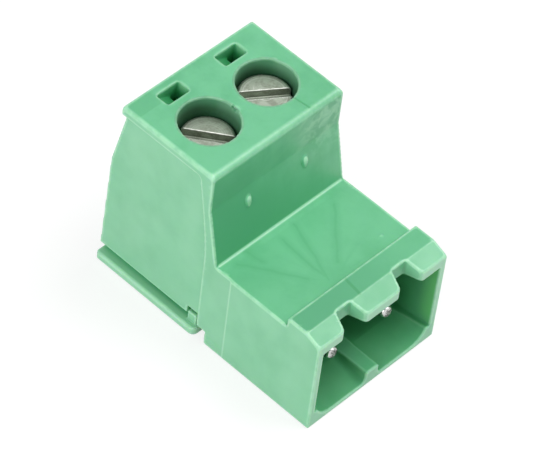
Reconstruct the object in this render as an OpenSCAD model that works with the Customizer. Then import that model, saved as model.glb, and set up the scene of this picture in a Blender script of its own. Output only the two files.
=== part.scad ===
// Two-pole plug with male contact pins in a shroud and screw clamps for the wires.
// X runs across the poles, -Y is the mating side, +Y is the wire side and Z is up.
// The origin is the middle of the footprint, on the surface that the plug rests on.

/* [Poles] */
// Distance between the two screw axes
pitch = 5.08; // [5:0.01:5.6]
// From a screw axis to the side face of the head
end_margin = 3.25; // [3.2:0.05:4]

/* [Head] */
// Overall height
head_h = 15; // [14.8:0.1:18]
// From the screw axes to the upright front face of the head
head_front = 3.63; // [3.3:0.01:4]
// Height above which the front face is upright
lean_top = 12; // [10:0.1:13.5]
// How far the front face leans out at its foot
lean = 0.99; // [0:0.01:1.1]
// From the screw axes to the rear edge of the top
head_back = 4.42; // [4.4:0.01:5]
// Height of the waist in the rear face
waist_z = 13.8; // [11:0.1:14]
// How far the waist lies inside the rear edge of the top
waist_in = 0.14; // [0:0.01:0.3]
// Height of the knee in the rear face
knee_z = 9.4; // [8:0.1:10.5]
// From the screw axes to the knee
knee_back = 5.22; // [4.9:0.01:5.6]
// From the screw axes to the rear foot of the housing
foot_back = 5.58; // [5.3:0.01:6]
// Radius along the front edge of the top
brow_r = 0.45; // [0.1:0.05:0.8]
// Radius along the side edges of the top
shoulder_r = 0.25; // [0.05:0.05:0.5]

/* [Side panels] */
// Depth of the sunk panel in each side
panel_depth = 0.3; // [0.1:0.05:0.5]
// Width of the rim left above the panel
panel_rim_top = 0.65; // [0.4:0.05:1]
// Width of the rim left in front of the panel
panel_rim_front = 1.06; // [0.5:0.01:1.2]

/* [Low block] */
// From the screw axes to the mating face
mating_reach = 13.68; // [13:0.01:15]
// From the screw axes to the rear foot of the low block
block_back = 4.34; // [4.2:0.01:4.6]
// Height of the low block
block_h = 7.58; // [7.4:0.01:9]
// How far the sides of the shroud stand out past the head
flare = 0.05; // [0.01:0.01:0.3]
// Length of the flared sides
flare_len = 7.68; // [4:0.01:8.5]
// Height of the flared strip along the foot
flare_foot = 0.75; // [0.3:0.05:1.5]

/* [Catch ridge and coding notches] */
// Height of the ridge above the block
ridge_h = 0.75; // [0.4:0.01:1.2]
// From the mating face to the rear of the ridge
ridge_rear = 2.84; // [2:0.01:4]
// From the mating face to the top of the ramp
ramp_len = 1.23; // [0.8:0.01:1.8]
// How far the ramp falls to the mating face
ramp_drop = 0.5; // [0.2:0.01:0.6]
// Width of a notch at its mouth
notch_mouth = 2.02; // [1.4:0.01:2.6]
// Width of a notch at its root
notch_root = 1.25; // [0.8:0.01:1.4]
// Radius of the tooth corners beside a notch
tooth_r = 0.35; // [0.1:0.05:0.5]

/* [Shroud] */
// Depth of the shroud
shroud_depth = 8.2; // [7:0.05:8.4]
// Thickness of the side walls at the mouth
mouth_wall = 0.45; // [0.35:0.01:0.8]
// Height of the ledges on the floor
ledge_z = 1.25; // [1:0.05:1.6]
// Height of the ceiling at the mouth
ceiling_z = 7; // [6.6:0.01:7.2]
// How much each wall closes in towards the back
draft = 0.15; // [0:0.01:0.3]
// Height of the channel floor under each pole
channel_z = 0.85; // [0.6:0.05:1]
// Height of the channel floor at the mouth
scoop_z = 0.3; // [0.2:0.05:0.6]
// Length of the scoop into the channel
scoop_len = 2.6; // [1:0.1:5]
// Radius along the outer side of each channel
channel_r = 1.7; // [0.5:0.1:2.2]
// Width of the rib between the channels
rib_w = 1.15; // [0.3:0.05:1.2]
// Width of the ledge beside each outer channel
side_ledge = 0.1; // [0.05:0.01:0.8]

/* [Clamp screws] */
// Diameter of the access hole over each screw
access_d = 4; // [3.8:0.05:4.6]
// How far the screw heads lie below the top
head_sink = 1.38; // [0.8:0.01:1.8]
// How far the loose right screw has lifted off its seat
right_lift = 0.3; // [0:0.01:0.3]
// Diameter of the screw head
screw_head_d = 3.6; // [3.2:0.05:3.7]
// Height of the screw head
screw_head_h = 1.9; // [1.4:0.05:2.2]
// Thread diameter of the screw
screw_d = 3; // [2.5:0.05:3]
// Width of the driver slot
slot_w = 0.7; // [0.5:0.05:0.9]
// Depth of the driver slot
slot_depth = 0.6; // [0.5:0.05:1]
// Direction of the left driver slot
slot_turn_left = -53; // [-90:1:90]
// Direction of the right driver slot
slot_turn_right = -34.5; // [-90:0.5:90]

/* [Clamp cages] */
// Width of a cage across the pole
cage_w = 4; // [3.8:0.05:4.1]
// Length of a cage along the wire
cage_len = 4.2; // [3.6:0.05:4.4]
// Thickness of the side walls
cage_wall = 0.5; // [0.4:0.05:0.6]
// Thickness of the floor
cage_floor = 0.8; // [0.5:0.05:1]
// Height of the window
cage_window = 3.8; // [3.4:0.05:3.9]
// Thickness of the threaded top
cage_top = 1.7; // [1.2:0.05:1.9]
// How far a cage rises from open to closed
cage_rise = 2.5; // [2:0.05:2.5]

/* [Contacts] */
// Diameter of a contact pin
pin_d = 1; // [0.8:0.05:1]
// From the mating face to the pin tips
pin_set_back = 1.35; // [0.5:0.05:3]
// Height of the pin axes
pin_z = 3.55; // [3:0.05:4]
// Thickness of the contact strip
strip_t = 0.9; // [0.6:0.05:1]
// Width of the contact strip
strip_w = 2.4; // [1.6:0.05:2.6]

/* [Wire entries and test slots] */
// Diameter of the throat of a wire entry
entry_d = 3; // [2.6:0.05:3.1]
// Diameter of the mouth of a wire entry
entry_mouth_d = 4; // [3.6:0.05:4.4]
// Length of the throat
throat_len = 1.4; // [0.6:0.05:2]
// Width of a test slot
test_w = 1.9; // [1:0.05:2.6]
// Length of a test slot along the wire
test_len = 1.03; // [0.6:0.01:1.1]
// From the screw axes to the front of a test slot
test_front = 2.68; // [2.5:0.01:2.8]
// Depth of a test slot
test_depth = 4; // [2:0.1:5]

/* [Base cover] */
// Height of the rail along the foot
rail_h = 0.6; // [0.5:0.05:1.3]
// How far the rail stands out past the sides of the head
rail_out = 0.2; // [0:0.05:0.4]
// Height of the sunk web over the rail
web_h = 0.5; // [0.2:0.05:0.8]
// How far the web lies inside the sides of the head
web_in = 0.75; // [0.5:0.05:1]
// From the screw axes to the front of the cover
cover_front = 3.55; // [3.4:0.01:4]
// From the screw axes to the rear of the cover
cover_back = 5.47; // [5.3:0.01:6]
// Radius of the front corners of the cover
cover_r = 0.5; // [0.2:0.05:1]
// From the front of the cover to a snap hook
hook_front = 0.3; // [0.2:0.05:2]
// Width of a snap hook along the wire
hook_w = 0.75; // [0.5:0.05:1]
// Thickness of a snap hook
hook_t = 0.5; // [0.35:0.05:0.7]
// Height of a snap hook above the web
hook_h = 0.25; // [0.2:0.05:0.9]
// Room over a snap hook
hook_room = 0.4; // [0.1:0.05:0.6]

/* [Hidden] */
$fn = 64;

eps = 0.01;
// Room between pieces that move past each other, and between a pin and its bore
slide_gap = 0.1;
bore_gap = 0.06;
// Room between pieces that sit still in one another
seat_gap = 0.03;

head_w = pitch + 2 * end_margin;
shroud_w = head_w + 2 * flare;
rear_reach = max(foot_back, cover_back);
rest_shift = (mating_reach - rear_reach) / 2;
pole_x = [-pitch / 2, pitch / 2];

seat_z = rail_h + web_h;
ridge_z = block_h + ridge_h;
foot_front = head_front + lean;
shroud_back = mating_reach - shroud_depth;

cage_z = seat_z + slide_gap;
window_z = cage_z + cage_floor;
strip_top = window_z + cage_window - slide_gap;
pocket_w = cage_w + 2 * slide_gap;
pocket_len = cage_len + 2 * slide_gap;
pocket_top = cage_z + cage_floor + cage_window + cage_top + cage_rise + slide_gap;
screw_top = head_h - head_sink;
screw_seat = screw_top - screw_head_h;
screw_tip = strip_top + slide_gap / 2;
wire_z = (window_z + strip_top - strip_t) / 2;

// Points of an outline whose corners [x, y, r] are rounded to radius r
function unit(v) = v / norm(v);
function bend(a, b, c, r, n) =
    let (
        u = unit(a - b),
        v = unit(c - b),
        half = acos(u * v) / 2,
        mid = b + unit(u + v) * r / sin(half),
        from = b + u * r / tan(half) - mid,
        to = b + v * r / tan(half) - mid,
        start = atan2(from.y, from.x),
        turn = (atan2(to.y, to.x) - start + 540) % 360 - 180
    )
    [for (k = [0:n]) mid + r * [cos(start + turn * k / n), sin(start + turn * k / n)]];
function flat(p) = [p.x, p.y];
function rounded(p, n = 6) =
    let (m = len(p))
    [for (i = [0:m - 1]) each p[i].z > 0
        ? bend(flat(p[(i + m - 1) % m]), flat(p[i]), flat(p[(i + 1) % m]), p[i].z, n)
        : [flat(p[i])]];

// Points of a curve from a to c that is drawn towards b
function curve(a, b, c, n = 10) =
    [for (k = [0:n]) let (t = k / n) (1 - t) * (1 - t) * a + 2 * t * (1 - t) * b + t * t * c];

// Extrudes a [y, z] outline across the part, centred on X = 0
module across(w) {
    rotate([90, 0, 90]) linear_extrude(w, center = true) children();
}

// Extrudes an [x, z] outline towards the wire side, from y = front
module along(front, length) {
    translate([0, front + length, 0]) rotate([90, 0, 0]) linear_extrude(length) children();
}

module at_poles() {
    for (x = pole_x) translate([x, 0, 0]) children();
}

module head_outline() {
    polygon(rounded([
        [-block_back, seat_z, 0],
        [foot_back, seat_z, 0],
        [knee_back, knee_z, 0.6],
        [head_back - waist_in, waist_z, 0],
        [head_back, head_h, 0],
        [-head_front, head_h, brow_r],
        [-head_front, lean_top, 1.5],
        [-foot_front, block_h, 0],
        [-foot_front, seat_z, 0]
    ]));
}

module block_outline() {
    polygon(rounded([
        [-mating_reach, 0, 0.1],
        [-block_back, 0, 0.1],
        [-block_back, seat_z + eps, 0],
        [-head_front, seat_z + eps, 0],
        [-head_front, block_h, 0],
        [-mating_reach + ridge_rear, block_h, 0.1],
        [-mating_reach + ridge_rear, ridge_z, 0.1],
        [-mating_reach + ramp_len, ridge_z, 0],
        [-mating_reach, ridge_z - ramp_drop, 0.2]
    ]));
}

module head_form() {
    intersection() {
        across(head_w) head_outline();
        along(-mating_reach, mating_reach + rear_reach)
            polygon(rounded([
                [-head_w / 2, 0, 0],
                [head_w / 2, 0, 0],
                [head_w / 2, head_h, shoulder_r],
                [-head_w / 2, head_h, shoulder_r]
            ]));
    }
}

module block_form() {
    across(head_w) block_outline();
    intersection() {
        across(shroud_w) block_outline();
        union() {
            translate([-shroud_w / 2, -mating_reach, 0]) cube([shroud_w, flare_len, head_h]);
            translate([-shroud_w / 2, -mating_reach, 0])
                cube([shroud_w, mating_reach, flare_foot]);
        }
    }
}

module panel_outline() {
    rim = -head_front + panel_rim_front;
    fall = -foot_front + panel_rim_front;
    top = head_h - panel_rim_top;
    polygon(concat(
        bend([rim + 1, top], [rim, top], [rim, top - 1], 0.3, 4),
        curve([rim, top - 0.4], [fall, lean_top - 2.8], [fall, block_h]),
        [[fall, 0], [rear_reach + 1, 0], [rear_reach + 1, top]]
    ));
}

module shroud_cut() {
    mouth = shroud_w / 2 - mouth_wall - flare;
    intersection() {
        linear_extrude(head_h) polygon([
            [-mouth - draft / 8, -mating_reach - 1],
            [mouth + draft / 8, -mating_reach - 1],
            [mouth - draft, -shroud_back],
            [-mouth + draft, -shroud_back]
        ]);
        across(shroud_w) polygon([
            [-mating_reach - 1, ledge_z],
            [-shroud_back, ledge_z],
            [-shroud_back, ceiling_z - draft],
            [-mating_reach - 1, ceiling_z + draft / 8]
        ]);
    }
}

// Channel in the shroud floor beside the rib, with a scooped mouth
module channel_cut() {
    near = rib_w / 2;
    far = shroud_w / 2 - flare - mouth_wall - side_ledge;
    top = ledge_z + channel_r;
    section = rounded([[near, 0, 0.5], [far, 0, channel_r], [far, top, 0], [near, top, 0]]);
    intersection() {
        union() {
            translate([0, 0, channel_z])
                along(-mating_reach, shroud_depth) polygon(section);
            translate([0, -mating_reach, scoop_z])
                rotate([atan((channel_z - scoop_z) / scoop_len), 0, 0])
                    along(-1, scoop_len + 1) polygon(section);
        }
        translate([0, -mating_reach - 1, 0]) cube([shroud_w, shroud_depth + 1, ledge_z + eps]);
    }
}

module notch_cut() {
    root = notch_root / 2;
    mouth = notch_mouth / 2;
    back = ramp_len + 0.02;
    translate([0, -mating_reach, ceiling_z - 1])
        linear_extrude(ridge_z) polygon(rounded([
            [-mouth - 1, -1, 0],
            [mouth + 1, -1, 0],
            [mouth + 1, 0, 0],
            [mouth, 0, tooth_r],
            [root, back, 0.1],
            [-root, back, 0.1],
            [-mouth, 0, tooth_r],
            [-mouth - 1, 0, 0]
        ]));
}

// Pocket for the cage, bore for the shank and hole for the driver
module clamp_cut() {
    translate([-pocket_w / 2, -pocket_len / 2, seat_z - eps])
        cube([pocket_w, pocket_len, pocket_top - seat_z + eps]);
    translate([0, 0, pocket_top - eps]) cylinder(h = head_h, d = screw_d + 2 * bore_gap);
    translate([0, 0, screw_seat]) cylinder(h = head_h, d = access_d);
}

module entry_cut() {
    throat_end = pocket_len / 2 + throat_len;
    translate([0, 0, wire_z]) rotate([-90, 0, 0]) {
        cylinder(h = foot_back + 1, d = entry_d);
        translate([0, 0, throat_end])
            cylinder(h = foot_back - throat_end, d1 = entry_d, d2 = entry_mouth_d);
        translate([0, 0, foot_back - eps]) cylinder(h = 1, d = entry_mouth_d);
    }
}

// The floor of a test slot slopes down to a narrow shaft
module test_cut() {
    ledge_w = test_w * 0.62;
    along(test_front, test_len) polygon([
        [-test_w / 2, head_h + 1],
        [-test_w / 2, head_h - 0.35],
        [-test_w / 2 + ledge_w, head_h - 0.95],
        [-test_w / 2 + ledge_w, head_h - test_depth],
        [test_w / 2, head_h - test_depth],
        [test_w / 2, head_h + 1]
    ]);
}

// Slot for the contact strip, with a recess for its leg in the back of the shroud
module strip_cut() {
    w = strip_w + 2 * seat_gap;
    low = pin_z - pin_d / 2 - seat_gap;
    translate([-w / 2, -shroud_back - eps, strip_top - strip_t - seat_gap])
        cube([w, shroud_back + eps, strip_t + 2 * seat_gap]);
    translate([-w / 2, -shroud_back - eps, low])
        cube([w, strip_t + seat_gap + eps, strip_top + seat_gap - low]);
}

module hook_window() {
    x = head_w / 2 - panel_depth - hook_t - slide_gap;
    y = -cover_front + hook_front - slide_gap;
    for (side = [-1, 1])
        translate([side > 0 ? x : -x - 2, y, seat_z - eps])
            cube([2, hook_w + 2 * slide_gap, hook_h + hook_room]);
}

// Small raised dot on the leaning front face, under each screw
module front_dot() {
    z = lean_top - 1.1;
    y = -head_front - lean * (lean_top - z) / (lean_top - block_h);
    tilt = atan(lean / (lean_top - block_h));
    translate([0, y + 0.06, z]) rotate([-tilt, 0, 0])
        rotate_extrude($fn = 32) polygon(concat(
            [[0, 0.5]],
            curve([0.03, 0.5], [0.5, 0.2], [0.03, -0.65], 12),
            [[0, -0.65]]
        ));
}

module housing() {
    color([0.42, 0.75, 0.55]) translate([0, rest_shift, 0]) {
        difference() {
            union() {
                head_form();
                block_form();
                at_poles() front_dot();
            }
            for (side = [-1, 1])
                translate([side * (head_w / 2 - panel_depth + 1), 0, 0])
                    across(2) panel_outline();
            shroud_cut();
            channel_cut();
            mirror([1, 0, 0]) channel_cut();
            at_poles() {
                notch_cut();
                clamp_cut();
                entry_cut();
                test_cut();
                strip_cut();
            }
            hook_window();
        }
    }
}

// Snap-in cover with a rail along each side and a hook at each front corner
module base_cover() {
    color([0.4, 0.72, 0.52]) translate([0, rest_shift, 0]) {
        side = head_w / 2 + rail_out;
        intersection() {
            along(-cover_front, cover_front + cover_back) polygon(rounded([
                [-side, 0, 0.1],
                [side, 0, 0.1],
                [side, rail_h, 0.2],
                [-side, rail_h, 0.2]
            ]));
            linear_extrude(rail_h) polygon(rounded([
                [-side, -cover_front, cover_r],
                [side, -cover_front, cover_r],
                [side, cover_back, 0.3],
                [-side, cover_back, 0.3]
            ]));
        }
        translate([-head_w / 2 + web_in, -cover_front + slide_gap, rail_h - eps])
            cube([head_w - 2 * web_in, cover_front + foot_back - 0.3, web_h + eps]);
        for (side = [-1, 1])
            translate([side * (head_w / 2 - panel_depth - hook_t / 2), 0, 0])
                translate([-hook_t / 2, -cover_front + hook_front, rail_h - eps])
                    cube([hook_t, hook_w, web_h + hook_h + eps]);
    }
}

module clamp_screw(turn, lift = 0) {
    color([0.66, 0.65, 0.6]) translate([0, 0, lift]) difference() {
        union() {
            rotate_extrude() polygon(rounded([
                [0, screw_seat, 0],
                [screw_head_d / 2, screw_seat, 0.08],
                [screw_head_d / 2, screw_top, 0.2],
                [0, screw_top, 0]
            ]));
            translate([0, 0, screw_tip + 0.3])
                cylinder(h = screw_seat - screw_tip - 0.3 + eps, d = screw_d);
            translate([0, 0, screw_tip])
                cylinder(h = 0.3 + eps, d1 = screw_d - 0.8, d2 = screw_d);
        }
        rotate([0, 0, turn])
            translate([-screw_head_d, -slot_w / 2, screw_top - slot_depth])
                cube([2 * screw_head_d, slot_w, slot_depth + 1]);
    }
}

// Square box that the wire and the contact strip pass through, threaded at the top
module clamp_cage() {
    height = cage_floor + cage_window + cage_top;
    color([0.78, 0.76, 0.68]) difference() {
        along(-cage_len / 2, cage_len) polygon(rounded([
            [-cage_w / 2, cage_z, 0.4],
            [cage_w / 2, cage_z, 0.4],
            [cage_w / 2, cage_z + height, 0.3],
            [-cage_w / 2, cage_z + height, 0.3]
        ]));
        along(-cage_len, 2 * cage_len) polygon(rounded([
            [-cage_w / 2 + cage_wall, window_z, 0.2],
            [cage_w / 2 - cage_wall, window_z, 0.2],
            [cage_w / 2 - cage_wall, window_z + cage_window, 0.2],
            [-cage_w / 2 + cage_wall, window_z + cage_window, 0.2]
        ]));
        translate([0, 0, window_z + cage_window - eps])
            cylinder(h = cage_top + 1, d = screw_d + 2 * bore_gap);
    }
}

// Strip under the screw tip, a leg down the back of the shroud and the pin
module pin_contact() {
    nose = pin_d * 0.45;
    tip = -mating_reach + pin_set_back;
    color([0.8, 0.81, 0.82]) {
        translate([0, 0, strip_top - strip_t / 2])
            translate([-strip_w / 2, -shroud_back, -strip_t / 2])
                cube([strip_w, shroud_back + cage_len / 2, strip_t]);
        translate([-strip_w / 2, -shroud_back, pin_z - pin_d / 2])
            cube([strip_w, strip_t, strip_top - pin_z + pin_d / 2]);
        translate([0, -shroud_back + eps, pin_z]) rotate([90, 0, 0])
            cylinder(h = -shroud_back - tip - nose + eps, d = pin_d);
        translate([0, tip, pin_z]) rotate([-90, 0, 0])
            rotate_extrude() polygon(concat(
                [[0, 0]],
                curve([pin_d * 0.28, 0], [pin_d / 2, nose * 0.2], [pin_d / 2, nose], 6),
                [[pin_d / 2, nose + eps], [0, nose + eps]]
            ));
    }
}

module at_pole(i) {
    translate([pole_x[i], rest_shift, 0]) children();
}

housing();
base_cover();
at_pole(0) clamp_screw(slot_turn_left);  // clamp_screw_left
at_pole(1) clamp_screw(slot_turn_right, right_lift);  // clamp_screw_right
at_pole(0) clamp_cage();  // clamp_cage_left
at_pole(1) clamp_cage();  // clamp_cage_right
at_pole(0) pin_contact();  // pin_contact_left
at_pole(1) pin_contact();  // pin_contact_right
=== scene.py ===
import bpy
import bmesh
import numpy as np
from mathutils import Matrix, Vector, kdtree


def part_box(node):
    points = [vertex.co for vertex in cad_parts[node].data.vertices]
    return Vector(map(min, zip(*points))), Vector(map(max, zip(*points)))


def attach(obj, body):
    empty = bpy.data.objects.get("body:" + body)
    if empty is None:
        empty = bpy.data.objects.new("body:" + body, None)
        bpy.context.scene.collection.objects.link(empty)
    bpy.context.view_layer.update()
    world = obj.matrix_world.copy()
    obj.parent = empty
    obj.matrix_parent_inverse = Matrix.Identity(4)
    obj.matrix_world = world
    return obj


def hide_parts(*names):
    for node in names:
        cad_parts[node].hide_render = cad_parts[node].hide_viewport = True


mm = 0.001
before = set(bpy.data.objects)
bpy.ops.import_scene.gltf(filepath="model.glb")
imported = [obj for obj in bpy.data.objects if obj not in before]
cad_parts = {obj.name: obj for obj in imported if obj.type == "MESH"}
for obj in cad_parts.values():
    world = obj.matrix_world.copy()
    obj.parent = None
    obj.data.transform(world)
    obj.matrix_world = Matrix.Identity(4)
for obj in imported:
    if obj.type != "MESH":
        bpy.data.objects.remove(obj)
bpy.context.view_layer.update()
print("frame loaded:", len(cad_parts), "solids")


def middleOf(corners):
    return (corners[0] + corners[1]) / 2


# places on the part, all taken from the solids: the screws' axes in metres, the rest in millimetres
poles = {side: middleOf(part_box("clamp_screw_" + side)) for side in ("left", "right")}
leftX = poles["left"].x / mm
rightX = poles["right"].x / mm
rowY = poles["left"].y / mm
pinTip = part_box("pin_contact_left")[0].y / mm


def row(low, high, *rest):
    # places along the part, given from the screws' row: minus is towards the mouth
    return (rowY + low, rowY + high, *rest)


meshing = {
    "joinWithin": 1e-7,  # metres
    "easeShare": 0.5,
    "leastRun": 1e-6,  # square millimetres
}


def bareCopy(node, name):
    # the solid's faces on their own, with the corners joined up again
    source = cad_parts[node].data
    work = bmesh.new()
    work.from_mesh(source)
    bmesh.ops.remove_doubles(work, verts=work.verts, dist=meshing["joinWithin"])
    points = [v.co.copy() for v in work.verts]
    work.verts.index_update()
    faces = [[v.index for v in f.verts] for f in work.faces]
    work.free()
    mesh = bpy.data.meshes.new(name)
    mesh.from_pydata(points, [], faces)
    mesh.update()
    piece = bpy.data.objects.new(name, mesh)
    bpy.context.scene.collection.objects.link(piece)
    return piece


def fixShape(piece):
    # what the modifiers make becomes the piece's own mesh
    bpy.context.view_layer.update()
    shown = piece.evaluated_get(bpy.context.evaluated_depsgraph_get())
    shaped = bpy.data.meshes.new_from_object(shown)
    piece.modifiers.clear()
    piece.data = shaped


def triangles(mesh):
    return sum(len(p.vertices) - 2 for p in mesh.polygons)


def cornersOf(mesh):
    # every vertex's place and normal
    count = len(mesh.vertices)
    places = np.empty(count * 3, dtype=np.float32)
    mesh.vertices.foreach_get("co", places)
    normals = np.empty(count * 3, dtype=np.float32)
    mesh.vertex_normals.foreach_get("vector", normals)
    return places.reshape(count, 3), normals.reshape(count, 3)


def moveCorners(mesh, places):
    mesh.vertices.foreach_set("co", places.astype(np.float32).ravel())
    mesh.update()


def bendOf(mesh, rounds):
    # how tightly the skin turns at each vertex, per millimetre: above 0 on outer edges, below 0 in corners
    places, normals = cornersOf(mesh)
    ends = np.empty(len(mesh.edges) * 2, dtype=np.int32)
    mesh.edges.foreach_get("vertices", ends)
    a, b = ends.reshape(-1, 2).T
    run = (places[b] - places[a]) / mm
    turn = ((normals[b] - normals[a]) * run).sum(1) / np.maximum((run * run).sum(1), meshing["leastRun"])
    count = len(places)
    near = np.maximum(np.bincount(a, minlength=count) + np.bincount(b, minlength=count), 1)
    bend = (np.bincount(a, turn, count) + np.bincount(b, turn, count)) / near
    for _ in range(rounds):
        around = (np.bincount(a, bend[b], count) + np.bincount(b, bend[a], count)) / near
        bend = (bend + around) / 2
    return places, bend


def keepBend(mesh, places, bend):
    # the thinned mesh takes each value from the nearest vertex of the full one
    tree = kdtree.KDTree(len(places))
    for index, place in enumerate(places):
        tree.insert(place, index)
    tree.balance()
    values = [bend[tree.find(v.co)[1]] for v in mesh.vertices]
    mesh.attributes.new("bend", "FLOAT", "POINT").data.foreach_set("value", values)


def pressMarks(mesh, marks):
    # small dents and raised burrs: start, end, width and push in millimetres
    places, normals = cornersOf(mesh)
    moved = places.copy()
    for start, end, width, push in marks:
        a = np.array(start) * mm
        run = np.array(end) * mm - a
        along = np.clip(((places - a) @ run) / (run @ run), 0, 1)
        gap = np.linalg.norm(places - a - along[:, None] * run, axis=1) / (width * mm)
        share = np.clip(1 - gap * gap, 0, 1) ** 2
        moved += normals * (share * push * mm)[:, None]
    moveCorners(mesh, moved)


def openBore(mesh, bore):
    # what stands into a hole round an upright axis moves out to its wall, between two heights
    places = cornersOf(mesh)[0]
    axis = np.array([bore["axis"].x, bore["axis"].y])
    out = places[:, :2] - axis
    reach = np.linalg.norm(out, axis=1)
    low, high = bore["heights"]
    inside = (reach > bore["core"] * mm) & (reach < bore["radius"] * mm)
    inside &= (places[:, 2] > low * mm) & (places[:, 2] < high * mm)
    places[inside, :2] = axis + out[inside] * (bore["radius"] * mm / reach[inside])[:, None]
    moveCorners(mesh, places)


def softened(node, shape):
    # every edge of a moulded or turned piece has a small radius, inside and out
    piece = bareCopy(node, shape["name"])
    fine = piece.modifiers.new("fine", "REMESH")
    fine.mode = "VOXEL"
    fine.voxel_size = shape["grain"] * mm
    ease = piece.modifiers.new("ease", "SMOOTH")
    ease.factor = meshing["easeShare"]
    ease.iterations = shape["easing"]
    fixShape(piece)
    if "marks" in shape:
        pressMarks(piece.data, shape["marks"])
    if "bore" in shape:
        openBore(piece.data, shape["bore"])
    places, bend = bendOf(piece.data, shape["bendRounds"])
    count = triangles(piece.data)
    if count > shape["triangles"]:
        thin = piece.modifiers.new("thin", "DECIMATE")
        thin.ratio = shape["triangles"] / count
        fixShape(piece)
    keepBend(piece.data, places, bend)
    piece.data.polygons.foreach_set("use_smooth", [True] * len(piece.data.polygons))
    piece.data.update()
    print(shape["name"], "has", triangles(piece.data), "triangles, from", count)
    return piece


class Finish:
    # one material, built up as its skin is painted: a mask is a value from 0 to 1 over the surface
    def __init__(self, name, colour):
        self.material = bpy.data.materials.new(name)
        self.material.use_nodes = True
        self.tree = self.material.node_tree
        self.tree.nodes.clear()
        self.output = self.tree.nodes.new("ShaderNodeOutputMaterial")
        coords = self.tree.nodes.new("ShaderNodeTexCoord")
        self.place = self.vector("SCALE", coords.outputs["Object"], scale=1 / mm)
        self.x, self.y, self.z = self.parts(self.place)
        self.nx, self.ny, self.nz = self.parts(coords.outputs["Normal"])
        turning = self.tree.nodes.new("ShaderNodeAttribute")
        turning.attribute_name = "bend"
        self.bend = turning.outputs["Fac"]
        self.colour = colour
        self.sheen = 0.5
        self.relief = 0.0
        self.corner = 0.0
        self.pale = 0.0

    def put(self, socket, value):
        if isinstance(value, bpy.types.NodeSocket):
            self.tree.links.new(value, socket)
        else:
            socket.default_value = value

    def parts(self, value):
        node = self.tree.nodes.new("ShaderNodeSeparateXYZ")
        self.put(node.inputs[0], value)
        return node.outputs

    def joined(self, x, y, z):
        node = self.tree.nodes.new("ShaderNodeCombineXYZ")
        for socket, value in zip(node.inputs, (x, y, z)):
            self.put(socket, value)
        return node.outputs[0]

    def math(self, what, a, b=0.0, clamp=False):
        node = self.tree.nodes.new("ShaderNodeMath")
        node.operation = what
        node.use_clamp = clamp
        for socket, value in zip(node.inputs, (a, b)):
            self.put(socket, value)
        return node.outputs[0]

    def times(self, first, *others):
        for other in others:
            first = self.math("MULTIPLY", first, other)
        return first

    def plus(self, a, b):
        return self.math("ADD", a, b)

    def minus(self, a, b):
        return self.math("SUBTRACT", a, b)

    def most(self, first, *others):
        for other in others:
            first = self.math("MAXIMUM", first, other)
        return first

    def absolute(self, value):
        return self.math("ABSOLUTE", value)

    def vector(self, what, a, b=None, scale=None):
        node = self.tree.nodes.new("ShaderNodeVectorMath")
        node.operation = what
        self.put(node.inputs[0], a)
        if b is not None:
            self.put(node.inputs[1], b)
        if scale is not None:
            self.put(node.inputs["Scale"], scale)
        single = what in ("DOT_PRODUCT", "LENGTH", "DISTANCE")
        return node.outputs["Value"] if single else node.outputs[0]

    def noise(self, size, where=None, detail=3.0, rough=0.55, warp=0.0):
        # size is the width of one patch, in millimetres
        node = self.tree.nodes.new("ShaderNodeTexNoise")
        self.put(node.inputs["Vector"], self.place if where is None else where)
        node.inputs["Scale"].default_value = 1 / size
        node.inputs["Detail"].default_value = detail
        node.inputs["Roughness"].default_value = rough
        node.inputs["Distortion"].default_value = warp
        return node.outputs["Fac"]

    def wandering(self, size, reach):
        # the place, pushed about by up to half the reach each way
        node = self.tree.nodes.new("ShaderNodeTexNoise")
        self.put(node.inputs["Vector"], self.place)
        node.inputs["Scale"].default_value = 1 / size
        pushed = self.vector("ADD", self.place, self.vector("SCALE", node.outputs["Color"], scale=reach))
        return self.vector("SUBTRACT", pushed, (reach / 2,) * 3)

    def ease(self, value, low, high, start=0.0, end=1.0):
        # smooth step from start to end while value goes from low to high
        node = self.tree.nodes.new("ShaderNodeMapRange")
        node.interpolation_type = "SMOOTHSTEP"
        self.put(node.inputs["Value"], value)
        for name, v in (("From Min", low), ("From Max", high), ("To Min", start), ("To Max", end)):
            node.inputs[name].default_value = v
        return node.outputs[0]

    def within(self, value, low, high, soft):
        # 1 between low and high, 0 outside
        start = self.ease(value, low - soft, low + soft)
        return self.times(start, self.ease(value, high - soft, high + soft, 1, 0))

    def nearLine(self, start, end, width, fade=0.5, where=None):
        # 1 on the straight line between two points, 0 at width away from it
        a, b = Vector(start), Vector(end)
        run = b - a
        off = self.vector("SUBTRACT", self.place if where is None else where, tuple(a))
        along = self.vector("DOT_PRODUCT", off, tuple(run / run.length_squared))
        along = self.math("ADD", along, 0.0, clamp=True)
        foot = self.vector("SCALE", tuple(run), scale=along)
        gap = self.vector("DISTANCE", off, foot)
        return self.ease(gap, width * (1 - fade), width, 1, 0)

    def paint(self, mask, colour):
        node = self.tree.nodes.new("ShaderNodeMix")
        node.data_type = "RGBA"
        node.clamp_factor = True
        self.put(node.inputs[0], mask)
        for socket, value in ((node.inputs[6], self.colour), (node.inputs[7], colour)):
            self.put(socket, value if isinstance(value, bpy.types.NodeSocket) else (*value, 1))
        self.colour = node.outputs[2]

    def bump(self, height, depth, under=None):
        # depth in millimetres
        node = self.tree.nodes.new("ShaderNodeBump")
        node.inputs["Distance"].default_value = depth * mm
        self.put(node.inputs["Height"], height)
        if under is not None:
            self.put(node.inputs["Normal"], under)
        return node.outputs[0]

    def surface(self, **sockets):
        shader = self.tree.nodes.new("ShaderNodeBsdfPrincipled")
        names = {s.name: s for s in shader.inputs}
        self.put(names["Base Color"], self.colour)
        for name, value in sockets.items():
            self.put(names[name.replace("_", " ")], value)
        self.tree.links.new(shader.outputs[0], self.output.inputs["Surface"])
        return self.material


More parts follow.
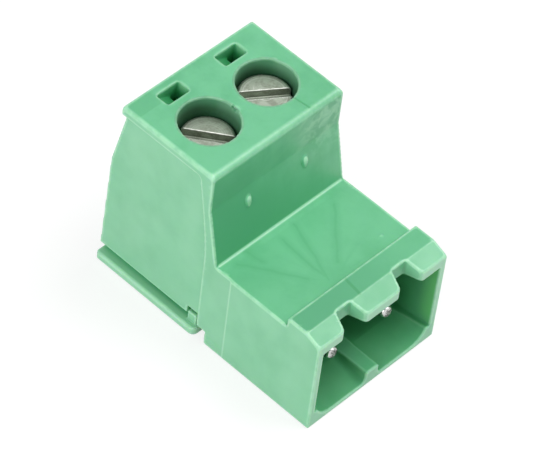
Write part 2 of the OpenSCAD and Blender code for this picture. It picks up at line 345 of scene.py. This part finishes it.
# The two green mouldings. A patch of noise has its width in millimetres. A mask's numbers are where it
# starts and where it is full, then its first and last value, or how soft both its ends are.
greenLook = {
    "colour": (0.145, 0.525, 0.275),
    # random patches of tone, and painted shade on the low block
    "fullGreenAndShade": (0.100, 0.440, 0.212),
    # painted shade on the ridge's top
    "ridgeShade": (0.078, 0.375, 0.182),
    # the flow lines' colour, also painted shade low on the head's front and on the ramps
    "flowAndShade": (0.070, 0.380, 0.170),
    "shade": (0.026, 0.280, 0.088),
    # painted shade in the screw wells
    "wellShade": (0.008, 0.080, 0.026),
    "glow": (0.130, 0.560, 0.150),
    # painted pale light: reflected floor light on the sides and the head's front, the highlight at the head's
    # foot, and light on the rails
    "paleLight": (0.310, 0.680, 0.430),
    # painted highlight on edges, on the side step and on the mouth's rim
    "paleHighlight": (0.440, 0.800, 0.560),
    "broad": {"size": 5.5, "detail": 2},
    "broadShare": 0.6,
    "patch": {"size": 1.4, "detail": 4, "rough": 0.6},
    "patchShare": 0.4,
    "patchDeep": (0.36, 0.66),
    "roughness": 0.40,
    "patchSheen": 0.22,
    "swell": {"size": 0.9, "detail": 2},
    "swellShare": 0.5,
    "swellDepth": 0.006,
    "fine": {"size": 0.07, "detail": 3, "rough": 0.6},
    "fineDepth": 0.0012,
    "cornerBend": (-2.6, -0.7, 1, 0),
    "cornerDark": 0.35,
    "edgeBend": (0.45, 1.9),
    "edgePale": 0.68,
    # noise that breaks up the painted edge highlight
    "glintBreak": {"size": 0.6, "detail": 3},
    "glintBreakFull": (0.35, 0.6, 0.62, 1.0),
    "light": {"IOR": 1.6, "Subsurface_Weight": 0.2, "Subsurface_Radius": (0.6, 1.0, 0.2),
              "Subsurface_Scale": 0.0009},
}

# dark lines where the melt flowed over the low block, fanning out from the middle of the ridge
flowLook = {
    # each line's ends: across, then in front of the screws
    "lines": [((0.54, 5.36), (-0.58, 8.53)), ((-0.58, 8.53), (-1.15, 9.94)), ((-0.91, 5.77), (-1.12, 7.73)),
              ((-1.12, 7.73), (-1.10, 9.60)), ((3.68, 5.87), (1.76, 7.82)), ((1.76, 7.82), (0.35, 9.30)),
              ((-4.58, 5.30), (-3.07, 7.44)), ((-3.07, 7.44), (-2.07, 9.09)), ((-3.34, 5.00), (-3.24, 6.20))],
    "level": 7.6,
    "wander": {"size": 1.3, "reach": 0.3},
    "halo": {"width": 0.55, "fade": 0.9},
    "haloShare": 0.6,
    "core": {"width": 0.15, "fade": 0.8},
    "coreShare": 0.4,
    "meeting": (-1.0, 10.2),
    "rays": {"size": 0.3, "detail": 2, "rough": 0.5},
    "raySquash": 0.03,
    "rayLayer": 3.1,
    "rayFull": (0.5, 0.72),
    "rayReach": (0.5, 6.0, 1, 0.2),
    "rayShare": 0.6,
    "pool": (0.3, 2.2, 0.6, 0),
    "heights": (7.2, 8.0, 0.15),
    "rows": (-10.9, -3.6, 0.1),
    "facing": (0.7, 0.95),
    "depth": 0.75,
    "sheen": 0.08,
}


def flowMarks(f, colours):
    look = flowLook
    wavy = f.wandering(**look["wander"])
    streak = 0.0
    for (x1, ahead1), (x2, ahead2) in look["lines"]:
        start, end = (x1, rowY - ahead1, look["level"]), (x2, rowY - ahead2, look["level"])
        halo = f.times(f.nearLine(start, end, where=wavy, **look["halo"]), look["haloShare"])
        core = f.times(f.nearLine(start, end, where=wavy, **look["core"]), look["coreShare"])
        streak = f.most(streak, f.plus(halo, core))
    meetingX, meetingAhead = look["meeting"]
    aside = f.minus(f.x, meetingX)
    along = f.minus(f.y, rowY - meetingAhead)
    reach = f.vector("LENGTH", f.joined(aside, along, 0.0))
    turn = f.math("ARCTAN2", aside, along)
    rays = f.noise(where=f.joined(turn, f.times(reach, look["raySquash"]), look["rayLayer"]), **look["rays"])
    rays = f.times(f.ease(rays, *look["rayFull"]), f.ease(reach, *look["rayReach"]), look["rayShare"])
    streak = f.most(streak, f.ease(reach, *look["pool"]), rays)
    onBlock = f.times(f.within(f.z, *look["heights"]), f.within(f.y, *row(*look["rows"])),
                      f.ease(f.nz, *look["facing"]))
    streak = f.times(streak, onBlock)
    f.paint(f.times(streak, look["depth"]), colours["flowAndShade"])
    return streak


# the head's front: upright drifts of fuller green, painted shade low on the left by the block, and a painted
# pale haze of reflected light high on the right
frontLook = {
    "facing": (-0.95, -0.7, 1, 0),
    "heights": (7.6, 14.9, 0.2),
    "rows": (-5.2, -3.0, 0.1),
    "drift": {"size": 1.1, "detail": 3},
    "driftSquash": 0.14,
    "driftFull": (0.5, 0.68),
    "driftDepth": 0.55,
    "lowLean": 1.2,
    "lowLeftShade": (8.0, 19.0, 1, 0),
    "paleHaze": {"size": 0.8, "detail": 5, "warp": 0.4},
    "hazeFull": (0.38, 0.62),
    "hazeAcross": (0.6, 4.2),
    "hazeUp": (9.8, 13.2),
    "hazeDepth": 0.7,
}


def frontMarks(f, colours):
    look = frontLook
    onFront = f.times(f.ease(f.ny, *look["facing"]), f.within(f.z, *look["heights"]),
                      f.within(f.y, *row(*look["rows"])))
    drift = f.noise(where=f.joined(f.x, 0.0, f.times(f.z, look["driftSquash"])), **look["drift"])
    f.paint(f.times(f.ease(drift, *look["driftFull"]), onFront, look["driftDepth"]), colours["fullGreenAndShade"])
    # painted shade low on the left of the head's front, by the block
    lowLeftShade = f.ease(f.plus(f.x, f.times(f.z, look["lowLean"])), *look["lowLeftShade"])
    f.paint(f.times(lowLeftShade, onFront), colours["flowAndShade"])
    # painted pale haze of reflected light in a patch high on the right
    paleHaze = f.times(f.ease(f.noise(**look["paleHaze"]), *look["hazeFull"]), f.ease(f.x, *look["hazeAcross"]),
                    f.ease(f.z, *look["hazeUp"]))
    f.paint(f.times(paleHaze, onFront, look["hazeDepth"]), colours["paleLight"])


# the sides: a painted pale cloud of reflected floor light on a skin duller than the top's, and a painted
# highlight on the hair-fine step where the shroud starts
sideLook = {
    "facing": (0.8, 0.97),
    "cloud": {"size": 2.6, "detail": 2},
    "cloudSquash": 0.5,
    "cloudFull": (0.3, 0.7, 0.42, 0.62),
    "stepRows": (-6.08, -5.96, 0.05),
    "stepUpTo": (7.45, 7.55, 1, 0),
    "stepPale": 0.6,
}


def sideMarks(f, colours):
    look = sideLook
    onSide = f.ease(f.absolute(f.nx), *look["facing"])
    # painted pale cloud of reflected floor light on the sides
    cloud = f.noise(where=f.joined(f.x, f.y, f.times(f.z, look["cloudSquash"])), **look["cloud"])
    f.paint(f.times(onSide, f.ease(cloud, *look["cloudFull"])), colours["paleLight"])
    # painted highlight along the step's edge
    step = f.times(onSide, f.within(f.y, *row(*look["stepRows"])), f.ease(f.z, *look["stepUpTo"]))
    f.paint(f.times(step, look["stepPale"]), colours["paleHighlight"])


# level faces: painted shade on the low block where the head keeps light off it, deeper on the ridge's top and
# most of all on the left, lighter painted shade on the ramps, and a darker patch at the back left corner of
# the head's top
levelLook = {
    "facing": (0.7, 0.9),
    "blockHeights": (7.2, 8.6, 0.1),
    "blockRows": (-5.3, -5.1, 1, 0),
    "blockShade": 0.35,
    "ridgeFacing": (0.94, 0.98),
    "ridgeHeights": (8.1, 8.25),
    "ridgeAcross": (-3.0, 4.5, 1.0, 0.2),
    "rampFacing": (0.94, 0.97, 1, 0),
    "rampRows": (-12.2, -12.0, 1, 0),
    "rampShade": 0.12,
    "cornerHeights": (14.5, 14.8),
    "cornerAcross": (-3.7, -3.5, 1, 0),
    "cornerRows": (3.0, 3.08),
    "cornerDeep": 0.8,
}


def levelMarks(f, colours):
    look = levelLook
    onTop = f.ease(f.nz, *look["facing"])
    block = f.times(onTop, f.within(f.z, *look["blockHeights"]), f.ease(f.y, *row(*look["blockRows"])))
    # painted shade on the low block
    f.paint(f.times(block, look["blockShade"]), colours["fullGreenAndShade"])
    # painted shade on the ridge's top, most of all on the left
    ridge = f.times(block, f.ease(f.nz, *look["ridgeFacing"]), f.ease(f.z, *look["ridgeHeights"]))
    f.paint(f.times(ridge, f.ease(f.x, *look["ridgeAcross"])), colours["ridgeShade"])
    # painted shade on the ramps
    ramp = f.times(block, f.ease(f.nz, *look["rampFacing"]), f.ease(f.y, *row(*look["rampRows"])))
    f.paint(f.times(ramp, look["rampShade"]), colours["flowAndShade"])
    corner = f.times(onTop, f.ease(f.z, *look["cornerHeights"]), f.ease(f.x, *look["cornerAcross"]),
                     f.ease(f.y, *row(*look["cornerRows"])))
    f.paint(f.times(corner, look["cornerDeep"]), colours["fullGreenAndShade"])


# painted shade deep down in the screw wells, the test slots and the shroud, darkest in the wells and on their
# far side
hollowLook = {
    "wellReach": (2.1, 2.2, 1, 0),
    "wellFarSide": (-1.8, 1.2, 0.85, 1.0),
    "wellHeights": (13.9, 14.95, 1, 0.55),
    "slotAcross": (-1.05, 1.05, 0.03),
    "slotRows": (2.62, 3.78, 0.03),
    "slotHeights": (14.0, 14.95, 1, 0.3),
    "shroudBack": (-5.6, -5.2, 1, 0),
    "shroudFront": (-13.66, -13.5),
    "shroudAcross": (-5.5, 5.5, 0.04),
    "shroudHeights": (0.28, 7.12, 0.04),
    "shroudDeeper": (-13.7, -10.5, 0.72, 1.0),
    "ribAcross": (-0.62, 0.62, 0.08),
    "ribHeights": (1.3, 1.5, 1, 0),
    "ribFacing": (0.6, 0.9),
    "ribPale": 0.5,
    "dullness": 0.3,
}


def hollowMarks(f, colours):
    look = hollowLook
    wellShade, slots = 0.0, 0.0
    for pole in (poles["left"] / mm, poles["right"] / mm):
        aside = f.minus(f.x, pole.x)
        behind = f.minus(f.y, pole.y)
        apart = f.vector("LENGTH", f.joined(aside, behind, 0.0))
        # the painted shade is darker on each well's far side
        farSide = f.ease(f.minus(behind, aside), *look["wellFarSide"])
        wellShade = f.most(wellShade, f.times(f.ease(apart, *look["wellReach"]), farSide))
        slots = f.most(slots, f.within(aside, *look["slotAcross"]))
    wellShade = f.times(wellShade, f.ease(f.z, *look["wellHeights"]))
    slots = f.times(slots, f.within(f.y, *row(*look["slotRows"])), f.ease(f.z, *look["slotHeights"]))
    inShroud = f.times(f.ease(f.y, *row(*look["shroudBack"])), f.within(f.x, *look["shroudAcross"]),
                       f.within(f.z, *look["shroudHeights"]), f.ease(f.y, *row(*look["shroudFront"])))
    onRib = f.times(f.within(f.x, *look["ribAcross"]), f.ease(f.z, *look["ribHeights"]),
                    f.ease(f.nz, *look["ribFacing"]))
    shroud = f.times(inShroud, f.ease(f.y, *row(*look["shroudDeeper"])),
                     f.minus(1.0, f.times(onRib, look["ribPale"])))
    # painted shade in the shroud and the test slots, and darker painted shade in the wells
    f.paint(f.most(shroud, slots), colours["shade"])
    f.paint(wellShade, colours["wellShade"])
    f.sheen = f.plus(f.sheen, f.times(f.most(wellShade, inShroud), look["dullness"]))
    return inShroud, slots


# at the mouth: a painted glow on the thin side walls, standing in for light that comes through them, and a
# painted highlight on the rim and the teeth's ends
mouthLook = {
    "glowAcross": (4.95, 5.35),
    "glowRows": (-13.4, -12.2, 1, 0),
    "glowHeights": (1.0, 2.5),
    "glowDepth": 0.65,
    "rimRows": (-13.64, -13.58, 1, 0),
    "rimFacing": (-0.9, -0.6, 1, 0),
    "rimPale": (0.3, 6.5, 0.35, 0.75),
}


def mouthMarks(f, colours, inShroud):
    look = mouthLook
    # painted glow standing in for light through the thin side walls
    glow = f.times(inShroud, f.ease(f.absolute(f.x), *look["glowAcross"]),
                   f.ease(f.y, *row(*look["glowRows"])), f.ease(f.z, *look["glowHeights"]))
    f.paint(f.times(glow, look["glowDepth"]), colours["glow"])
    # painted highlight on the mouth's rim and the teeth's ends
    rim = f.times(f.ease(f.y, *row(*look["rimRows"])), f.ease(f.ny, *look["rimFacing"]))
    f.paint(f.times(rim, f.ease(f.z, *look["rimPale"])), colours["paleHighlight"])


# the seam where the melt met, from the right-hand well to the front edge, and its trace over the ridge
seamLook = {
    "seam": ((rightX + 0.35, rowY - 1.9, 15.0), (rightX + 0.5, rowY - 3.2, 15.0)),
    "seamWidth": 0.09,
    "trace": ((-0.77, rowY - 10.8, 8.33), (-1.0, rowY - 12.4, 8.33)),
    "traceWidth": 0.14,
    "depth": 0.5,
}


def seamMarks(f, colours):
    look = seamLook
    seam = f.nearLine(*look["seam"], look["seamWidth"])
    trace = f.nearLine(*look["trace"], look["traceWidth"])
    f.paint(f.times(f.most(seam, trace), look["depth"]), colours["shade"])
    f.relief = f.minus(f.relief, f.plus(seam, trace))


# where the painted edge highlight differs: a painted highlight along the head's foot, and none on edges in
# hollows and round the wells, which stay green
edgeLook = {
    "footHeights": (7.35, 8.0, 0.1),
    "footRows": (-5.2, -4.2, 0.1),
    "footBend": (-2.2, -0.9, 1, 0),
    "footPale": 0.9,
    "lipRows": (-13.4, -13.2, 1, 0),
    "lipHeights": (1.3, 1.6, 1, 0),
    "rimHeights": (14.6, 14.8),
    "rimAcross": (4.8, 5.0, 1, 0),
    "rimFrom": (-2.6, -2.4),
    "rimTo": (4.0, 4.2, 1, 0),
    "rimShare": 0.6,
    "greener": 0.8,
}


def edgeMarks(f, colours, hollows):
    look = edgeLook
    # painted highlight along the head's foot, with less painted corner shade there
    foot = f.times(f.within(f.z, *look["footHeights"]), f.within(f.y, *row(*look["footRows"])),
                   f.ease(f.bend, *look["footBend"]))
    f.paint(f.times(foot, look["footPale"]), colours["paleLight"])
    f.corner = f.times(f.corner, f.minus(1.0, foot))
    # no painted edge highlight on the lip, round the wells and in the hollows
    lip = f.times(f.ease(f.y, *row(*look["lipRows"])), f.ease(f.z, *look["lipHeights"]))
    rims = f.times(f.ease(f.z, *look["rimHeights"]), f.ease(f.absolute(f.x), *look["rimAcross"]),
                   f.ease(f.y, *row(*look["rimFrom"])), f.ease(f.y, *row(*look["rimTo"])))
    kept = f.most(*hollows, f.times(f.most(lip, rims), look["rimShare"]))
    f.pale = f.times(f.pale, f.minus(1.0, f.times(kept, look["greener"])))


def housingMarks(f, colours):
    streak = flowMarks(f, colours)
    frontMarks(f, colours)
    sideMarks(f, colours)
    levelMarks(f, colours)
    inShroud, slots = hollowMarks(f, colours)
    mouthMarks(f, colours, inShroud)
    seamMarks(f, colours)
    f.sheen = f.plus(f.sheen, f.times(streak, flowLook["sheen"]))
    edgeMarks(f, colours, (inShroud, slots))


# painted light on the outer part of the base cover's rails, which are paler outside
railLook = {"across": (5.15, 5.55), "pale": 0.85}


def coverMarks(f, colours):
    # painted light on the rails' outer part
    outside = f.ease(f.absolute(f.x), *railLook["across"])
    f.paint(f.times(outside, railLook["pale"]), colours["paleLight"])


def greenPlastic(name, look, addMarks):
    f = Finish(name, look["colour"])
    patch = f.noise(**look["patch"])
    tint = f.plus(f.times(f.noise(**look["broad"]), look["broadShare"]), f.times(patch, look["patchShare"]))
    f.paint(f.ease(tint, *look["patchDeep"]), look["fullGreenAndShade"])
    f.relief = f.times(f.noise(**look["swell"]), look["swellShare"])
    f.sheen = f.plus(look["roughness"], f.times(f.minus(patch, 0.5), look["patchSheen"]))
    f.corner = f.ease(f.bend, *look["cornerBend"])
    f.pale = look["edgePale"]
    addMarks(f, look)
    # painted shade in corners, and a painted highlight on edges, broken up by noise
    f.paint(f.times(f.corner, look["cornerDark"]), look["shade"])
    edge = f.times(f.ease(f.bend, *look["edgeBend"]), f.ease(f.noise(**look["glintBreak"]), *look["glintBreakFull"]))
    f.paint(f.times(edge, f.pale), look["paleHighlight"])
    normal = f.bump(f.relief, look["swellDepth"])
    normal = f.bump(f.noise(**look["fine"]), look["fineDepth"], normal)
    return f.surface(Roughness=f.sheen, Normal=normal, **look["light"])


# The plated metals: each look gives how sharp an edge has to be for a painted highlight, and grain is how far
# lines are drawn out.
# each look's darker colour serves stains and painted shade in corners, and its brighter colour drawn lines
# and painted edge highlights
steelLook = {
    "colour": (0.40, 0.45, 0.37),
    "stainAndShade": (0.27, 0.30, 0.24),
    "linesAndGlint": (0.74, 0.75, 0.70),
    "roughness": 0.46,
    "edgeShine": (1.2, 4.0),
}
cageLook = {
    "colour": (0.56, 0.55, 0.52),
    "stainAndShade": (0.40, 0.38, 0.35),
    "linesAndGlint": (0.72, 0.71, 0.69),
    "roughness": 0.36,
    "edgeShine": (1.2, 4.0),
    "grain": (0.2, 1, 1),
}
tinLook = {
    "colour": (0.40, 0.41, 0.39),
    "stainAndShade": (0.17, 0.18, 0.16),
    "linesAndGlint": (0.85, 0.86, 0.84),
    "roughness": 0.24,
    "edgeShine": (1.5, 3.2),
    "grain": (1, 0.12, 1),
    "cutEnd": (0.055, 0.065, 0.05),
}
metalLook = {
    "stain": {"size": 0.7, "detail": 5, "rough": 0.65, "warp": 0.3},
    "stainFull": (0.42, 0.64),
    "stainSheen": 0.35,
    "drawn": {"size": 0.12, "detail": 3},
    "turned": {"size": 0.06, "detail": 3},
    "turnedSquash": 0.7,
    "lineFull": (0.48, 0.7),
    "lineBright": 0.5,
    "lineDepth": 0.004,
    "cornerBend": (-3.5, -1.0, 1, 0),
    "cornerDull": 0.6,
    "shineBreak": {"size": 0.35, "detail": 2},
    "shineBreakFull": (0.35, 0.6, 0.35, 1.0),
    "pits": {"size": 0.16, "detail": 3, "rough": 0.7},
    "pitsFull": (0.4, 0.6, 0.35, 1.0),
    "cutFacing": (-0.95, -0.60, 1, 0),
    "cutReach": (0.5, 0.7),
    "fine": {"size": 0.05, "detail": 2},
    "fineDepth": 0.0015,
}


def platedMetal(name, own, pole=None):
    look = {**metalLook, **own}
    f = Finish(name, look["colour"])
    stain = f.noise(**look["stain"])
    f.paint(f.ease(stain, *look["stainFull"]), look["stainAndShade"])
    if pole is None:
        drawn = f.joined(*(f.times(s, g) for s, g in zip((f.x, f.y, f.z), look["grain"])))
        lines = f.noise(where=drawn, **look["drawn"])
    else:
        # turned piece: fine rings about its own axis
        ring = f.vector("LENGTH", f.joined(f.minus(f.x, pole.x), f.minus(f.y, pole.y), 0.0))
        lines = f.noise(where=f.joined(ring, f.times(f.z, look["turnedSquash"]), 0.0), **look["turned"])
    f.paint(f.times(f.ease(lines, *look["lineFull"]), look["lineBright"]), look["linesAndGlint"])
    # painted shade in corners
    f.paint(f.times(f.ease(f.bend, *look["cornerBend"]), look["cornerDull"]), look["stainAndShade"])
    # painted highlight on sharp edges, broken up by noise
    shineBreak = f.ease(f.noise(**look["shineBreak"]), *look["shineBreakFull"])
    f.paint(f.times(f.ease(f.bend, *look["edgeShine"]), shineBreak), look["linesAndGlint"])
    if "cutEnd" in look:
        # the cut face at the pin's tip is dark and pitted
        low, high = look["cutReach"]
        cut = f.times(f.ease(f.ny, *look["cutFacing"]), f.ease(f.y, pinTip + low, pinTip + high, 1, 0),
                      f.ease(f.noise(**look["pits"]), *look["pitsFull"]))
        f.paint(cut, look["cutEnd"])
    sheen = f.plus(look["roughness"], f.times(f.minus(stain, 0.5), look["stainSheen"]))
    normal = f.bump(lines, look["lineDepth"])
    normal = f.bump(f.noise(**look["fine"]), look["fineDepth"], normal)
    return f.surface(Metallic=1.0, Roughness=sheen, Normal=normal)


# How each piece is shaped: grain is the size of its skin's cells, and easing how often they are smoothed.
# A mark has two ends, a width and a push, which is under 0 for a dent.
housingShape = {
    "name": "housing_moulding", "body": "housing", "slot": "green_plastic",
    "grain": 0.075, "easing": 2, "triangles": 196000, "bendRounds": 4,
    "marks": [
        # nick in the rim of the left-hand well, and a burr on the right-hand one
        ((leftX + 1.97, rowY - 0.40, 15.0), (leftX + 2.02, rowY - 0.15, 14.9), 0.24, -0.16),
        ((rightX + 1.25, rowY + 1.72, 15.0), (rightX + 1.90, rowY + 1.05, 15.0), 0.14, 0.05),
        # shallow seam by the right-hand well, and a raised fleck on the low block
        (*seamLook["seam"], 0.13, -0.03),
        ((3.94, rowY - 9.55, 7.6), (4.14, rowY - 9.63, 7.6), 0.10, 0.05),
    ],
}
coverShape = {
    "name": "base_cover_moulding", "body": "housing", "slot": "cover_plastic",
    "grain": 0.06, "easing": 2, "triangles": 60000, "bendRounds": 2,
}


def screwShape(side):
    x, y = poles[side].x / mm, poles[side].y / mm
    return {
        "name": "screw_" + side + "_turned", "body": "screw_" + side, "slot": "screw_steel",
        "grain": 0.04, "easing": 1, "triangles": 60000, "bendRounds": 1,
        # the shank is a hair thinner, so that it stays clear of the cage's side walls
        "marks": [((x, y, 6.0), (x, y, 10.0), 3.0, -0.07)],
    }


def cageShape(side):
    return {
        "name": "cage_" + side + "_pressed", "body": "cage_" + side, "slot": "cage_metal",
        "grain": 0.06, "easing": 2, "triangles": 40000, "bendRounds": 1,
        "bore": {"axis": poles[side], "radius": 1.54, "core": 0.5, "heights": (2.2, 8)},
    }


def contactShape(side):
    return {
        "name": "contact_" + side + "_tinned", "body": "housing", "slot": "tinned_contact",
        "grain": 0.045, "easing": 2, "triangles": 40000, "bendRounds": 1,
    }


def makePiece(node, shape, material):
    piece = softened(node, shape)
    piece.data.materials.clear()
    piece.data.materials.append(material)
    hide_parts(node)
    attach(piece, shape["body"])


makePiece("housing", housingShape, greenPlastic("greenMoulded", greenLook, housingMarks))
makePiece("base_cover", coverShape, greenPlastic("greenCover", greenLook, coverMarks))
for side in ("left", "right"):
    steel = platedMetal("turnedSteel_" + side, steelLook, poles[side] / mm)
    makePiece("clamp_screw_" + side, screwShape(side), steel)
    makePiece("clamp_cage_" + side, cageShape(side), platedMetal("pressedCage_" + side, cageLook))
    makePiece("pin_contact_" + side, contactShape(side), platedMetal("tinnedStrip_" + side, tinLook))
print("pieces made")


# lengths in metres, from the middle of the part's foot
studio = {
    "worldLevel": 0.34,
    "floorSize": 3.0,
    "floorDrop": 0.00003,
    "floorOwn": 0.32,  # its own grey where it is looked at, and what it gives off on top of that
    "floorGiven": 0.74,
    "floorBounce": 0.62,
    "lampAim": (0, 0, 0.007),
    "key": {"place": (0.176, -0.120, 0.380), "size": (0.28, 0.28), "power": 1.20},
    "side": {"place": (-0.400, -0.024, 0.215), "size": (0.30, 0.30), "power": 1.25},
    "camera": {"place": (-0.11893, -0.09447, 0.1775), "ahead": (0.520, 0.414, -0.747),
               "right": (0.696, -0.712, 0.090), "lens": 240.26, "sensor": 36, "reach": (0.01, 10)},
}


def softLamp(name, place, size, power):
    lamp = bpy.data.lights.new(name, "AREA")
    lamp.shape = "RECTANGLE"
    lamp.size, lamp.size_y = size
    lamp.energy = power
    holder = bpy.data.objects.new(name, lamp)
    bpy.context.scene.collection.objects.link(holder)
    holder.location = place
    holder.rotation_mode = "QUATERNION"
    holder.rotation_quaternion = (Vector(studio["lampAim"]) - Vector(place)).to_track_quat("-Z", "Y")


def anySeen(tree):
    # camera, mirror and see-through rays
    path = tree.nodes.new("ShaderNodeLightPath")
    total = path.outputs["Is Camera Ray"]
    for name in ("Is Glossy Ray", "Is Transmission Ray"):
        most = tree.nodes.new("ShaderNodeMath")
        most.operation = "MAXIMUM"
        tree.links.new(total, most.inputs[0])
        tree.links.new(path.outputs[name], most.inputs[1])
        total = most.outputs[0]
    return total


def makeWorld():
    world = bpy.data.worlds.new("studioWhite")
    world.use_nodes = True
    tree = world.node_tree
    tree.nodes.clear()
    back = tree.nodes.new("ShaderNodeBackground")
    back.inputs["Color"].default_value = (1, 1, 1, 1)
    level = tree.nodes.new("ShaderNodeMapRange")
    level.inputs["To Min"].default_value = studio["worldLevel"]
    level.inputs["To Max"].default_value = 1.0
    tree.links.new(anySeen(tree), level.inputs["Value"])
    tree.links.new(level.outputs[0], back.inputs["Strength"])
    out = tree.nodes.new("ShaderNodeOutputWorld")
    tree.links.new(back.outputs[0], out.inputs["Surface"])
    bpy.context.scene.world = world


def greyDiffuse(tree, level):
    node = tree.nodes.new("ShaderNodeBsdfDiffuse")
    node.inputs["Color"].default_value = (level, level, level, 1)
    return node.outputs[0]


def floorMaterial():
    material = bpy.data.materials.new("paleFloor")
    material.use_nodes = True
    tree = material.node_tree
    tree.nodes.clear()
    glow = tree.nodes.new("ShaderNodeEmission")
    glow.inputs["Strength"].default_value = studio["floorGiven"]
    both = tree.nodes.new("ShaderNodeAddShader")
    tree.links.new(greyDiffuse(tree, studio["floorOwn"]), both.inputs[0])
    tree.links.new(glow.outputs[0], both.inputs[1])
    choice = tree.nodes.new("ShaderNodeMixShader")
    tree.links.new(anySeen(tree), choice.inputs[0])
    tree.links.new(greyDiffuse(tree, studio["floorBounce"]), choice.inputs[1])
    tree.links.new(both.outputs[0], choice.inputs[2])
    out = tree.nodes.new("ShaderNodeOutputMaterial")
    tree.links.new(choice.outputs[0], out.inputs["Surface"])
    return material


def makeFloor():
    half, drop = studio["floorSize"] / 2, studio["floorDrop"]
    mesh = bpy.data.meshes.new("floor")
    corners = [(-half, -half, -drop), (half, -half, -drop), (half, half, -drop), (-half, half, -drop)]
    mesh.from_pydata(corners, [], [(0, 1, 2, 3)])
    mesh.materials.append(floorMaterial())
    floor = bpy.data.objects.new("floor", mesh)
    bpy.context.scene.collection.objects.link(floor)


def makeCamera():
    look = studio["camera"]
    lens = bpy.data.cameras.new("camera")
    lens.lens = look["lens"]
    lens.sensor_width = look["sensor"]
    lens.clip_start, lens.clip_end = look["reach"]
    camera = bpy.data.objects.new("camera", lens)
    bpy.context.scene.collection.objects.link(camera)
    ahead = Vector(look["ahead"]).normalized()
    right = Vector(look["right"])
    right = (right - ahead * right.dot(ahead)).normalized()
    up = right.cross(ahead)
    turn = Matrix((right, up, -ahead)).transposed()
    camera.matrix_world = Matrix.Translation(look["place"]) @ turn.to_4x4()
    bpy.context.scene.camera = camera


makeWorld()
makeFloor()
softLamp("key", **studio["key"])
softLamp("side", **studio["side"])
makeCamera()
bpy.context.scene.view_settings.view_transform = "Standard"
print("studio set")
